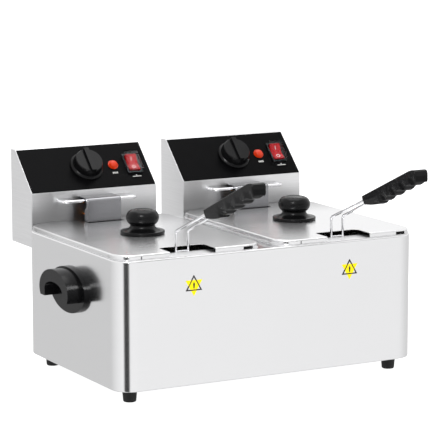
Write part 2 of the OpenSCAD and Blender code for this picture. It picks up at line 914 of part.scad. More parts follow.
on_side(LEFT) tank();  // tank_left
on_side(LEFT) housing();  // housing_left
on_side(LEFT) back_cover();  // back_cover_left
on_side(LEFT) control_label();  // control_label_left
on_side(LEFT) heat_lamp();  // heat_lamp_left
on_side(LEFT) switch_body();  // switch_body_left
on_side(LEFT) switch_cover();  // switch_cover_left
on_side(LEFT) thermostat();  // thermostat_left
on_side(LEFT) limiter();  // limiter_left
on_side(LEFT) terminal_block();  // terminal_block_left
on_side(LEFT) cable_gland();  // cable_gland_left
on_side(LEFT) interlock_switch();  // interlock_switch_left
on_side(LEFT) element();  // element_left
on_side(LEFT) element_guard();  // element_guard_left
on_side(LEFT) hanger_rod();  // hanger_rod_left
on_side(LEFT) sensor_bulbs();  // sensor_bulbs_left
on_side(LEFT) head_screws();  // head_screws_left
on_side(LEFT) knob();  // knob_left
on_side(LEFT) knob_shaft();  // knob_shaft_left
on_side(LEFT) rocker();  // rocker_left
on_side(LEFT) reset_button();  // reset_button_left
on_side(LEFT) basket();  // basket_left
on_side(LEFT) handle_wires();  // handle_wires_left
on_side(LEFT) grip();  // grip_left
on_side(LEFT) lid();  // lid_left
on_side(LEFT) lid_knob();  // lid_knob_left

on_side(RIGHT) tank();  // tank_right
on_side(RIGHT) housing();  // housing_right
on_side(RIGHT) back_cover();  // back_cover_right
on_side(RIGHT) control_label();  // control_label_right
on_side(RIGHT) heat_lamp();  // heat_lamp_right
on_side(RIGHT) switch_body();  // switch_body_right
on_side(RIGHT) switch_cover();  // switch_cover_right
on_side(RIGHT) thermostat();  // thermostat_right
on_side(RIGHT) limiter();  // limiter_right
on_side(RIGHT) terminal_block();  // terminal_block_right
on_side(RIGHT) cable_gland();  // cable_gland_right
on_side(RIGHT) interlock_switch();  // interlock_switch_right
on_side(RIGHT) element();  // element_right
on_side(RIGHT) element_guard();  // element_guard_right
on_side(RIGHT) hanger_rod();  // hanger_rod_right
on_side(RIGHT) sensor_bulbs();  // sensor_bulbs_right
on_side(RIGHT) head_screws();  // head_screws_right
on_side(RIGHT) knob();  // knob_right
on_side(RIGHT) knob_shaft();  // knob_shaft_right
on_side(RIGHT) rocker();  // rocker_right
on_side(RIGHT) reset_button();  // reset_button_right
on_side(RIGHT) basket();  // basket_right
on_side(RIGHT) handle_wires();  // handle_wires_right
on_side(RIGHT) grip();  // grip_right
on_side(RIGHT) lid();  // lid_right
on_side(RIGHT) lid_knob();  // lid_knob_right
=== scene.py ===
"""Countertop deep fryer with two oil wells: the looks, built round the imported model.

Lengths inside the builders are millimetres from the middle of the casing's front edge,
with y to the rear and z up from the resting plane. place() turns them into metres.
"""

import math

import bmesh
import bpy
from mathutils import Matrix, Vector


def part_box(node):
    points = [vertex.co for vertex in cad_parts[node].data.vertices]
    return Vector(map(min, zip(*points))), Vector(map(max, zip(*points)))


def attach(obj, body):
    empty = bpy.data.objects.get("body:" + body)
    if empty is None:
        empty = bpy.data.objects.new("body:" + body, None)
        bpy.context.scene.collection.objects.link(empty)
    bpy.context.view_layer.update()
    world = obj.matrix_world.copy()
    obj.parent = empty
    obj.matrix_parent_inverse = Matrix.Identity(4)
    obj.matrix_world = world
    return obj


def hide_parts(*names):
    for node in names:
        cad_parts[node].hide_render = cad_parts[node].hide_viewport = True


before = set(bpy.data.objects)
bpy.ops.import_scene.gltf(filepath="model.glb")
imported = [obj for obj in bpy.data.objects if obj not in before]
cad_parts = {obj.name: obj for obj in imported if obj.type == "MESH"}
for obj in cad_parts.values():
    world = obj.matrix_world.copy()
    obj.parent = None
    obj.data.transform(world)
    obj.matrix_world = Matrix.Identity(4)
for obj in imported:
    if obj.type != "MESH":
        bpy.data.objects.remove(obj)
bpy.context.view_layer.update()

bl_info = {
    "name": "Countertop deep fryer",
    "version": (1, 0, 0),
    "blender": (4, 5, 0),
    "location": "3D View > Sidebar > Fryer",
    "description": "Builds the visible pieces and finishes of a countertop deep fryer",
    "category": "Object",
}

MM = 0.001
SIDES = ("left", "right")
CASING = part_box("casing_shell")
FRONT = CASING[0].y
CASING_W = (CASING[1].x - CASING[0].x) / MM
CASING_D = (CASING[1].y - CASING[0].y) / MM
FOOT_H = CASING[0].z / MM
DECK = CASING[1].z / MM
RIM = DECK + 1
UNIT_X = sum(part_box("lid_right")[i].x for i in (0, 1)) / 2 / MM
CASING_R = 30
TANK_R = 28
HEAD_DEPTH = 78.5
PANEL_RISE = 60.5
PANEL_RUN = 61.5
HEAD_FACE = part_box("back_cover_right")[1].y / MM - FRONT / MM - HEAD_DEPTH
SLOPE_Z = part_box("housing_right")[1].z / MM - PANEL_RISE
SLOPE_A = math.atan2(PANEL_RISE, PANEL_RUN)
SLOPE_L = math.hypot(PANEL_RISE, PANEL_RUN)


# ---------- helpers ----------


def place(x, y, z):
    """Metres in the row frame from millimetres off the casing's front and the resting plane."""
    return Vector((x * MM, FRONT + y * MM, z * MM))


def linear(text):
    """Linear RGBA from an sRGB hex value."""
    parts = [int(text[i : i + 2], 16) / 255 for i in (1, 3, 5)]
    return [p / 12.92 if p <= 0.04045 else ((p + 0.055) / 1.055) ** 2.4 for p in parts] + [1.0]


def add(tree, kind, values=(), links=(), stops=(), **settings):
    """Adds a node: its settings, its sockets' values, its ramp's stops and its links."""
    node = tree.nodes.new(kind)
    for key, value in settings.items():
        setattr(node, key, value)
    for key, value in dict(values).items():
        node.inputs[key].default_value = value
    for key, source in dict(links).items():
        tree.links.new(source, node.inputs[key])
    if stops:
        ramp = node.color_ramp.elements
        while len(ramp) < len(stops):
            ramp.new(0.5)
        for element, (position, colour) in zip(ramp, stops):
            element.position = position
            element.color = colour
    return node


def grey(v):
    return (v, v, v, 1)


def finish(name, **values):
    """A material with one Principled shader whose sockets hold the values."""
    mat = bpy.data.materials.new(name)
    mat.use_nodes = True
    tree = mat.node_tree
    shader = tree.nodes["Principled BSDF"]
    for key, value in values.items():
        shader.inputs[key.replace("_", " ")].default_value = value
    return mat, tree, shader


def sheet_metal(name, colour, rough, grain, along, tint=0.05, depth=0.02, draw=0.0):
    """Metal with fine lines, a slight change of tone and patches of more and less polish.

    grain sets the depth of the lines, and along is how far they run on each axis before they
    change, all in millimetres. draw above nought pulls reflections out across lines along x.
    """
    mat, tree, shader = finish(name, Metallic=1.0, Roughness=rough)
    place_in = add(tree, "ShaderNodeTexCoord").outputs["Object"]
    scale = [1 / (MM * size) for size in along]
    lines = add(tree, "ShaderNodeMapping", {"Scale": scale}, {"Vector": place_in})
    streak = add(tree, "ShaderNodeTexNoise", {"Scale": 1.0, "Detail": 3.0, "Roughness": 0.6},
                 {"Vector": lines.outputs["Vector"]})
    cloud = add(tree, "ShaderNodeTexNoise", {"Scale": 1 / (MM * 90), "Detail": 2.0},
                {"Vector": place_in})
    light = [min(1.0, c * (1 + tint)) for c in colour[:3]] + [1]
    dark = [c * (1 - tint) for c in colour[:3]] + [1]
    tone = add(tree, "ShaderNodeValToRGB", links={"Fac": streak.outputs["Fac"]},
               stops=[(0.3, dark), (0.7, light)])
    tree.links.new(tone.outputs["Color"], shader.inputs["Base Color"])
    spread = add(tree, "ShaderNodeMapRange", {"To Min": rough * 0.85, "To Max": rough * 1.2},
                 {"Value": cloud.outputs["Fac"]})
    tree.links.new(spread.outputs["Result"], shader.inputs["Roughness"])
    bump = add(tree, "ShaderNodeBump", {"Strength": depth * 5, "Distance": grain * MM * 0.05},
               {"Height": streak.outputs["Fac"]})
    tree.links.new(bump.outputs["Normal"], shader.inputs["Normal"])
    if draw:
        shader.inputs["Anisotropic"].default_value = draw
        facing = add(tree, "ShaderNodeNewGeometry").outputs["Normal"]
        across = add(tree, "ShaderNodeVectorMath", {1: (1, 0.02, 0.03)}, {0: facing},
                     operation="CROSS_PRODUCT")
        tree.links.new(across.outputs["Vector"], shader.inputs["Tangent"])
    return mat


def painted_shade(mat, dark, *runs):
    """Paints shade into the sheet's base colour, darkest at the start of each run; the sheet
    keeps its own colour past the end of any one run.

    Each run is an axis with the distances in millimetres at which it starts and ends.
    """
    tree = mat.node_tree
    shader = tree.nodes["Principled BSDF"]
    axes = add(tree, "ShaderNodeSeparateXYZ", links={
        "Vector": add(tree, "ShaderNodeTexCoord").outputs["Object"]}).outputs
    unshaded = None
    for axis, start, end in runs:
        run = add(tree, "ShaderNodeMapRange",
                  {"From Min": start * MM, "From Max": end * MM, "To Min": dark},
                  {"Value": axes[axis]}, interpolation_type="SMOOTHSTEP").outputs["Result"]
        unshaded = run if unshaded is None else add(
            tree, "ShaderNodeMath", links={0: unshaded, 1: run}, operation="MAXIMUM").outputs[0]
    # Painted shade: the base colour is scaled down by the runs
    before = shader.inputs["Base Color"].links[0].from_socket
    scaled = add(tree, "ShaderNodeVectorMath", links={"Vector": before, "Scale": unshaded},
                 operation="SCALE")
    tree.links.new(scaled.outputs["Vector"], shader.inputs["Base Color"])


def moulded(name, colour, rough, grit, depth, mottle=0.25, **more):
    """Moulded plastic or rubber: an even skin with a fine grit and slight tone changes."""
    mat, tree, shader = finish(name, Roughness=rough, **more)
    place_in = add(tree, "ShaderNodeTexCoord").outputs["Object"]
    skin = add(tree, "ShaderNodeTexNoise", {"Scale": 1 / (MM * grit), "Detail": 2.0},
               {"Vector": place_in})
    cloud = add(tree, "ShaderNodeTexNoise", {"Scale": 1 / (MM * 18), "Detail": 3.0},
                {"Vector": place_in})
    low = [c * (1 - mottle) for c in colour[:3]] + [1]
    high = [min(1.0, c * (1 + mottle)) for c in colour[:3]] + [1]
    tone = add(tree, "ShaderNodeValToRGB", links={"Fac": cloud.outputs["Fac"]},
               stops=[(0.3, low), (0.7, high)])
    tree.links.new(tone.outputs["Color"], shader.inputs["Base Color"])
    spread = add(tree, "ShaderNodeMapRange", {"To Min": rough * 0.9, "To Max": rough * 1.12},
                 {"Value": cloud.outputs["Fac"]})
    tree.links.new(spread.outputs["Result"], shader.inputs["Roughness"])
    bump = add(tree, "ShaderNodeBump", {"Strength": 0.5, "Distance": depth * MM},
               {"Height": skin.outputs["Fac"]})
    tree.links.new(bump.outputs["Normal"], shader.inputs["Normal"])
    return mat


def made(name, verts, faces, body, mat, stands_for=(), smooth=35):
    """A piece from points and faces, riding on its body."""
    mesh = bpy.data.meshes.new(name)
    mesh.from_pydata(verts, [], faces)
    mesh.validate()
    work = bmesh.new()
    work.from_mesh(mesh)
    bmesh.ops.recalc_face_normals(work, faces=work.faces)
    work.to_mesh(mesh)
    work.free()
    mesh.materials.append(mat)
    mesh.shade_smooth()
    mesh.set_sharp_from_angle(angle=math.radians(smooth))
    piece = bpy.data.objects.new(name, mesh)
    bpy.context.scene.collection.objects.link(piece)
    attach(piece, body)
    if stands_for:
        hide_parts(*stands_for)
    return piece


def dress(node, mat, edge=0.0, angle=32, segments=2):
    """Gives a CAD node its finish, and rounds its sharp edges by edge millimetres."""
    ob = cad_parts[node]
    ob.data.materials.clear()
    ob.data.materials.append(mat)
    weld = ob.modifiers.new("weld", "WELD")
    weld.merge_threshold = 0.00001
    if edge:
        bevel = ob.modifiers.new("edges", "BEVEL")
        bevel.width = edge * MM
        bevel.segments = segments
        bevel.limit_method = "ANGLE"
        bevel.angle_limit = math.radians(angle)
        bevel.use_clamp_overlap = True
        bevel.harden_normals = False
    for polygon in ob.data.polygons:
        polygon.use_smooth = True
    smooth_by_angle(ob, 30)
    even_normals(ob)
    return ob


def smooth_by_angle(ob, degrees):
    """Sharp edges over the angle, after the other modifiers."""
    group = bpy.data.node_groups.get("smooth_by_angle")
    if group is None:
        group = bpy.data.node_groups.new("smooth_by_angle", "GeometryNodeTree")
        group.interface.new_socket("Geometry", in_out="INPUT", socket_type="NodeSocketGeometry")
        group.interface.new_socket("Geometry", in_out="OUTPUT", socket_type="NodeSocketGeometry")
        came = add(group, "NodeGroupInput")
        bend = add(group, "GeometryNodeInputMeshEdgeAngle")
        flat = add(group, "FunctionNodeCompare", {"B": math.radians(degrees)},
                   {"A": bend.outputs["Unsigned Angle"]}, data_type="FLOAT",
                   operation="LESS_EQUAL")
        faces = add(group, "GeometryNodeSetShadeSmooth", {"Shade Smooth": True},
                    {"Geometry": came.outputs["Geometry"]}, domain="FACE")
        edges = add(group, "GeometryNodeSetShadeSmooth",
                    links={"Geometry": faces.outputs["Geometry"],
                           "Shade Smooth": flat.outputs["Result"]}, domain="EDGE")
        add(group, "NodeGroupOutput", links={"Geometry": edges.outputs["Geometry"]})
    ob.modifiers.new("smooth", "NODES").node_group = group


def even_normals(ob):
    """Keeps wide flat faces flat beside their rounded edges."""
    even = ob.modifiers.new("normals", "WEIGHTED_NORMAL")
    even.keep_sharp = True
    even.weight = 90


def join(parts):
    """Several (verts, faces) as one."""
    verts, faces = [], []
    for more_verts, more_faces in parts:
        start = len(verts)
        verts += more_verts
        faces += [[start + i for i in face] for face in more_faces]
    return verts, faces


def rounded(x0, y0, x1, y1, r, steps=12):
    """Outline of a rounded rectangle, anticlockwise from its front left corner."""
    points = []
    corners = ((x0 + r, y0 + r, 180), (x1 - r, y0 + r, 270), (x1 - r, y1 - r, 0),
               (x0 + r, y1 - r, 90))
    for cx, cy, start in corners:
        for i in range(steps + 1):
            a = math.radians(start + 90 * i / steps)
            points.append((cx + r * math.cos(a), cy + r * math.sin(a)))
    return points


def loft(rings, closed_ring=True, closed_run=False, caps=False):
    """Skin over rings with the same number of points."""
    n = len(rings[0])
    verts = [Vector(p) for ring in rings for p in ring]
    faces = []
    spans = len(rings) if closed_run else len(rings) - 1
    for i in range(spans):
        j = (i + 1) % len(rings)
        for k in range(n if closed_ring else n - 1):
            m = (k + 1) % n
            faces.append([i * n + k, i * n + m, j * n + m, j * n + k])
    if caps:
        faces.append(list(range(n))[::-1])
        faces.append([(len(rings) - 1) * n + k for k in range(n)])
    return verts, faces


def rounded_path(points, bend, steps=6):
    """A line through points with its corners rounded to a bend radius."""
    points = [Vector(p) for p in points]
    out = [points[0]]
    for before, corner, after in zip(points, points[1:], points[2:]):
        back = (before - corner).normalized()
        on = (after - corner).normalized()
        turn = math.pi - back.angle(on)
        if turn < 0.01:
            out.append(corner)
            continue
        run = min(bend * math.tan(turn / 2), (before - corner).length * 0.49,
                  (after - corner).length * 0.49)
        for i in range(steps + 1):
            t = i / steps
            a = corner + back * run
            b = corner + on * run
            out.append(a.lerp(corner, t).lerp(corner.lerp(b, t), t))
    out.append(points[-1])
    return out


def tube(points, r, sides=10, closed=False):
    """Round wire along a line, with flat ends."""
    points = [Vector(p) for p in points]
    count = len(points)
    up = Vector((0.13, 0.27, 0.95))
    rings = []
    for i, p in enumerate(points):
        if closed:
            d = points[(i + 1) % count] - points[i - 1]
        else:
            d = points[min(i + 1, count - 1)] - points[max(i - 1, 0)]
        d.normalize()
        across = up.cross(d)
        if across.length < 0.05:
            across = Vector((1, 0, 0)).cross(d)
        across.normalize()
        up = d.cross(across).normalized()
        rings.append([p + across * (r * math.cos(2 * math.pi * k / sides))
                      + up * (r * math.sin(2 * math.pi * k / sides)) for k in range(sides)])
    return loft(rings, closed_run=closed, caps=not closed)


def in_row(part, x0=0.0):
    """Millimetres about a unit's middle into metres of the row frame."""
    verts, faces = part
    return [place(v[0] + x0, v[1], v[2]) for v in verts], faces


def on_panel(x0, x, y, z):
    """A point on a control panel: x across, y up the slope, z out of it."""
    return place(
        x0 + x,
        HEAD_FACE + y * math.cos(SLOPE_A) - z * math.sin(SLOPE_A),
        SLOPE_Z + y * math.sin(SLOPE_A) + z * math.cos(SLOPE_A),
    )


def unit_x(side):
    return UNIT_X if side == "right" else -UNIT_X


# ---------- sizes and colours ----------


class FryerSizes(bpy.types.PropertyGroup):
    """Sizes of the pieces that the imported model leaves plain."""

    casing_bend: bpy.props.FloatProperty(
        name="Casing bend", description="Radius of the bend at the casing's top edge",
        default=2.6 * MM, unit="LENGTH")
    lid_bend: bpy.props.FloatProperty(
        name="Lid bend", description="Radius of the bend between a lid's top and its skirt",
        default=2.4 * MM, unit="LENGTH")
    guard_bend: bpy.props.FloatProperty(
        name="Guard bend", description="Radius of the bend at the top of an element guard",
        default=5.0 * MM, unit="LENGTH")
    mesh_pitch: bpy.props.FloatProperty(
        name="Basket mesh", description="Spacing of the wires of a basket's mesh",
        default=7.0 * MM, unit="LENGTH")
    mesh_wire: bpy.props.FloatProperty(
        name="Basket wire", description="Diameter of the wires of a basket's mesh",
        default=1.1 * MM, unit="LENGTH")
    grip_edge: bpy.props.FloatProperty(
        name="Grip edge", description="Radius along the edges of a basket grip",
        default=1.0 * MM, unit="LENGTH")
    lens: bpy.props.FloatProperty(
        name="Lens", description="Focal length of the camera", default=192.2 * MM,
        unit="CAMERA")


class FryerColours(bpy.types.PropertyGroup):
    """Colours of the finishes."""

    steel: bpy.props.FloatVectorProperty(
        name="Casing steel", description="Bright stainless sheet", size=4, subtype="COLOR",
        default=linear("#e6e6e7"))
    satin: bpy.props.FloatVectorProperty(
        name="Satin steel", description="Brushed stainless sheet of heads and lids", size=4,
        subtype="COLOR", default=linear("#e8e8e9"))
    black: bpy.props.FloatVectorProperty(
        name="Black mouldings", description="Black phenolic of knobs and handles", size=4,
        subtype="COLOR", default=linear("#0c0c0d"))
    film: bpy.props.FloatVectorProperty(
        name="Panel film", description="Black film on the control panels", size=4,
        subtype="COLOR", default=linear("#070708"))
    red: bpy.props.FloatVectorProperty(
        name="Switch red", description="Glossy red of the rocker switches", size=4,
        subtype="COLOR", default=linear("#b00c14"))
    lamp: bpy.props.FloatVectorProperty(
        name="Lamp red", description="Lens of the pilot lamps", size=4, subtype="COLOR",
        default=linear("#c02a0a"))
    yellow: bpy.props.FloatVectorProperty(
        name="Label yellow", description="Yellow of the front labels", size=4,
        subtype="COLOR", default=linear("#f0da08"))
    copper: bpy.props.FloatVectorProperty(
        name="Copper", description="Bare copper of the sensor lines", size=4,
        subtype="COLOR", default=linear("#c4762f"))


# ---------- stage ----------


class FRYER_OT_stage(bpy.types.Operator):
    """Adds the camera, the floor, the studio's surround and its lights"""

    bl_idname = "fryer.stage"
    bl_label = "Stage"

    def execute(self, context):
        scene = context.scene
        camera = bpy.data.objects.new("camera", bpy.data.cameras.new("camera"))
        scene.collection.objects.link(camera)
        camera.location = (-1.6473, FRONT - 2.8505, 0.7977)
        camera.rotation_euler = (math.pi / 2 - 0.163, 0.001, -0.499)
        camera.data.lens = scene.fryer_sizes.lens / MM
        camera.data.sensor_width = 36
        camera.data.shift_x = -0.0030233
        camera.data.shift_y = 0.0026744
        camera.data.clip_end = 100
        scene.camera = camera
        scene.view_settings.view_transform = "Standard"

        # Floor: matt white board, bright enough to run out into the white surround
        mesh = bpy.data.meshes.new("floor")
        mesh.from_pydata([(-30, -30, 0), (30, -30, 0), (30, 30, 0), (-30, 30, 0)], [],
                         [(0, 1, 2, 3)])
        floor = bpy.data.objects.new("floor", mesh)
        scene.collection.objects.link(floor)
        board, _, _ = finish("white_board_matt", Roughness=0.9, Base_Color=grey(0.4),
                             Emission_Color=grey(1), Emission_Strength=0.95)
        mesh.materials.append(board)
        floor.visible_glossy = False

        # Surround: bright soft walls with one dark screen beside the camera
        world = bpy.data.worlds.new("studio")
        scene.world = world
        world.use_nodes = True
        tree = world.node_tree
        tree.nodes.clear()
        way = add(tree, "ShaderNodeTexCoord").outputs["Generated"]
        axes = add(tree, "ShaderNodeSeparateXYZ", links={"Vector": way}).outputs
        turn = add(tree, "ShaderNodeMath", links={0: axes["Y"], 1: axes["X"]},
                   operation="ARCTAN2")
        part = add(tree, "ShaderNodeMapRange",
                   {"From Min": -math.pi, "From Max": math.pi, "To Min": 0.0, "To Max": 1.0},
                   {"Value": turn.outputs[0]})

        def at(degrees, value):
            return ((degrees + 180) / 360, grey(value))

        walls = add(tree, "ShaderNodeValToRGB", links={"Fac": part.outputs["Result"]}, stops=[
            at(-180, 0.92), at(-156, 1.0), at(-147, 0.95), at(-143, 0.05), at(-118, 0.05),
            at(-113, 1.0), at(-90, 1.0), at(-61, 0.98), at(0, 0.75), at(60, 0.67),
            at(119, 0.67), at(179, 0.92)])
        rise = add(tree, "ShaderNodeMapRange", {"From Min": 0.0, "From Max": 0.12},
                   {"Value": axes["Z"]})
        upper = add(tree, "ShaderNodeMix", {7: grey(1.0)},
                    {"Factor": rise.outputs["Result"], 6: walls.outputs["Color"]},
                    data_type="RGBA")
        # A dark cloth stands low in front of the fryer; level faces and lids reflect it
        ahead = add(tree, "ShaderNodeValToRGB", links={"Fac": part.outputs["Result"]}, stops=[
            at(-120, 0.0), at(-95, 0.9), at(-58, 0.85), at(-40, 0.0)])
        height = add(tree, "ShaderNodeValToRGB", links={"Fac": axes["Z"]}, stops=[
            (0.02, grey(0.0)), (0.08, grey(1.0)), (0.17, grey(1.0)), (0.3, grey(0.0))])
        cloth = add(tree, "ShaderNodeMath",
                    links={0: ahead.outputs["Color"], 1: height.outputs["Color"]},
                    operation="MULTIPLY")
        above = add(tree, "ShaderNodeMix", {7: grey(0.05)},
                    {"Factor": cloth.outputs[0], 6: upper.outputs[2]},
                    data_type="RGBA")
        seen = add(tree, "ShaderNodeLightPath").outputs["Is Camera Ray"]
        shown = add(tree, "ShaderNodeMix", {7: grey(1.0)},
                    {"Factor": seen, 6: above.outputs[2]}, data_type="RGBA")
        air = add(tree, "ShaderNodeBackground", {"Strength": 1.08},
                  {"Color": shown.outputs[2]})
        add(tree, "ShaderNodeOutputWorld", links={"Surface": air.outputs["Background"]})

        for name, where, size, power in (
            ("key_softbox", (-1.4, -1.6, 2.2), 0.6, 34),
            ("top_softbox", (0.3, 0.4, 2.4), 1.8, 22),
        ):
            light = bpy.data.lights.new(name, "AREA")
            light.shape = "SQUARE"
            light.size = size
            light.energy = power
            ob = bpy.data.objects.new(name, light)
            scene.collection.objects.link(ob)
            ob.location = where
            ob.rotation_euler = (Vector((0, 0, 0.2)) - Vector(where)).to_track_quat(
                "-Z", "Y").to_euler()
        return {"FINISHED"}


# ---------- casing ----------


class FRYER_OT_casing(bpy.types.Operator):
    """Folds the casing and dresses the plates, feet and screws on it"""

    bl_idname = "fryer.casing"
    bl_label = "Casing"

    def execute(self, context):
        colours = context.scene.fryer_colours
        # Bright annealed stainless sheet: nearly smooth, so reflections keep soft edges
        steel = sheet_metal("stainless_bright_annealed", colours.steel, 0.17, 1.5,
                            (60, 60, 1.5), tint=0.01, depth=0.004)
        bend = context.scene.fryer_sizes.casing_bend / MM
        lip, wall, low = 14, 1, 2.2
        outside = [(lip, FOOT_H), (low, FOOT_H)]
        outside += [(low * (1 - math.sin(a)), FOOT_H + low * (1 - math.cos(a)))
                    for a in (math.radians(22.5 * i) for i in range(1, 4))]
        outside += [(0, FOOT_H + low), (0, DECK - bend)]
        outside += [(bend * (1 - math.cos(a)), DECK - bend * (1 - math.sin(a)))
                    for a in (math.radians(15 * i) for i in range(1, 6))]
        outside += [(bend, DECK), (lip, DECK)]
        inside = [(lip, DECK - wall), (bend, DECK - wall), (wall, DECK - bend),
                  (wall, FOOT_H + low), (low, FOOT_H + wall), (lip, FOOT_H + wall)]
        rings = []
        for inset, z in outside + inside:
            outline = rounded(-CASING_W / 2 + inset, inset, CASING_W / 2 - inset,
                              CASING_D - inset, CASING_R - inset, 20)
            rings.append([(x, y, z) for x, y in outline])
        verts, faces = in_row(loft(rings, closed_run=True))
        even_normals(made("casing_folded", verts, faces, "casing", steel,
                          ["casing_shell"], smooth=40))
        # Galvanised sheet: dull, with the large pale crystals of the zinc
        zinc, tree, shader = finish("galvanised_sheet", Metallic=1.0, Roughness=0.45)
        cells = add(tree, "ShaderNodeTexVoronoi", {"Scale": 1 / (MM * 9)},
                    {"Vector": add(tree, "ShaderNodeTexCoord").outputs["Object"]})
        tone = add(tree, "ShaderNodeValToRGB", links={"Fac": cells.outputs["Distance"]},
                   stops=[(0.0, linear("#a9adaf")), (1.0, linear("#7f8486"))])
        tree.links.new(tone.outputs["Color"], shader.inputs["Base Color"])
        dress("base_plate", zinc)
        dress("deck_divider", steel)
        # Vulcanised rubber: matt black, slightly grey where it is worn
        dress("feet", moulded("rubber_vulcanised", linear("#141414"), 0.6, 0.8, 0.05,
                              Specular_IOR_Level=0.3), 0.5)
        dress("body_screws", plated(), 0.15)
        return {"FINISHED"}


def plated():
    """Zinc-plated screw steel: bright with tiny tool marks."""
    mat = bpy.data.materials.get("steel_zinc_plated")
    return mat or sheet_metal("steel_zinc_plated", linear("#c9cacb"), 0.3, 0.5, (2, 2, 0.5))


def phenolic(colours):
    """Black phenolic, compression moulded: deep black with a low even sheen."""
    mat = bpy.data.materials.get("phenolic_moulded")
    return mat or moulded("phenolic_moulded", colours.black, 0.24, 1.2, 0.02,
                          Specular_IOR_Level=0.15)


def nylon():
    """Black nylon, injection moulded: a little shinier than phenolic."""
    mat = bpy.data.materials.get("nylon_moulded")
    return mat or moulded("nylon_moulded", linear("#0a0a0b"), 0.3, 1.0, 0.03,
                          Specular_IOR_Level=0.3)


class FRYER_OT_side_handles(bpy.types.Operator):
    """Dresses the hooded carrying handles"""

    bl_idname = "fryer.side_handles"
    bl_label = "Side handles"

    def execute(self, context):
        dress("side_handles", phenolic(context.scene.fryer_colours), 1.3, 40, 3)
        return {"FINISHED"}


class FRYER_OT_labels(bpy.types.Operator):
    """Dresses the yellow triangles on the front and adds their dark borders"""

    bl_idname = "fryer.labels"
    bl_label = "Front labels"

    def execute(self, context):
        # Printed vinyl: flat strong colour under a thin gloss
        yellow = moulded("vinyl_yellow_printed", context.scene.fryer_colours.yellow, 0.35,
                         2.0, 0.01, mottle=0.03, Specular_IOR_Level=0.15)
        black = moulded("vinyl_black_printed", linear("#1a1a18"), 0.35, 2.0, 0.01)
        dress("caution_labels", yellow)
        parts = []
        middle = FOOT_H + 146.8
        outer, inner, vinyl, ink = 15.3, 11.9, -0.4, -0.46
        drop = [(0, 5.6), (1.5, 2.0), (0.8, -4.6), (-0.8, -4.6), (-1.5, 2.0)]
        for side in SIDES:
            rings = []
            for r, y in ((outer, vinyl), (outer, ink), (inner, ink), (inner, vinyl)):
                rings.append([(unit_x(side) + r * math.sin(math.radians(120 * k)), y,
                               middle + r * math.cos(math.radians(120 * k)))
                              for k in range(3)])
            parts.append(loft(rings, closed_run=True))
            parts.append(loft([[(unit_x(side) + x, y, middle + z) for x, z in drop]
                               for y in (vinyl, ink)], caps=True))
        verts, faces = in_row(join(parts))
        made("label_borders", verts, faces, "casing", black)
        return {"FINISHED"}


# ---------- tanks and lids ----------


class FRYER_OT_tanks(bpy.types.Operator):
    """Draws the oil wells with their flanges"""

    bl_idname = "fryer.tanks"
    bl_label = "Tanks"

    def execute(self, context):
        # Deep-drawn stainless sheet: bright, with faint drawing lines down the walls
        steel = sheet_metal("stainless_deep_drawn", linear("#ececed"), 0.32, 1.5,
                            (1.5, 1.5, 60), tint=0.03, draw=0.6)
        for side in SIDES:
            low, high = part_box(f"tank_{side}")
            half = (high.x - low.x) / 2 / MM
            bottom = low.z / MM
            lip, well, front, rear = 2.0, 93, 33.5, 308.5
            edge, sink = 1.5, 14
            rings = []

            def ring(x, y0, y1, r, z):
                rings.append([(px, py, z) for px, py in rounded(-x, y0, x, y1, r)])

            ring(half, edge, CASING_D - edge, TANK_R, DECK)
            ring(half, edge, CASING_D - edge, TANK_R, RIM - 0.2)
            ring(half - 0.2, edge + 0.2, CASING_D - edge - 0.2, TANK_R, RIM)
            ring(well + lip, front - lip, rear + lip, TANK_R + lip, RIM)
            for i in range(1, 5):
                a = math.radians(22.5 * i)
                inset = lip * math.sin(a)
                ring(well + lip - inset, front - lip + inset, rear + lip - inset,
                     TANK_R + lip - inset, RIM - lip * (1 - math.cos(a)))
            ring(well, front, rear, TANK_R, bottom + 1 + sink)
            for i in range(1, 7):
                a = math.radians(15 * i)
                inset = sink * (1 - math.cos(a))
                ring(well - inset, front + inset, rear - inset, TANK_R - inset,
                     bottom + 1 + sink * (1 - math.sin(a)))
            inner = len(rings)
            ring(well - sink, front + sink, rear - sink, TANK_R - sink, bottom)
            for i in range(5, -1, -1):
                a = math.radians(15 * i)
                inset = sink * (1 - math.cos(a)) - 1
                ring(well - inset, front + inset, rear - inset, TANK_R - inset,
                     bottom + sink * (1 - math.sin(a)))
            ring(well + 1, front - 1, rear + 1, TANK_R + 1, DECK - 0.4)
            verts, faces = loft(rings, closed_run=True)
            n = len(rings[0])
            faces = [f for f in faces if not (f[0] // n == inner - 1 and f[2] // n == inner)]
            faces.append([(inner - 1) * n + k for k in range(n)])
            faces.append([inner * n + k for k in range(n)][::-1])
            verts, faces = in_row((verts, faces), unit_x(side))
            even_normals(made(f"tank_drawn_{side}", verts, faces, f"tank_{side}",
                              steel, [f"tank_{side}"], smooth=40))
        return {"FINISHED"}


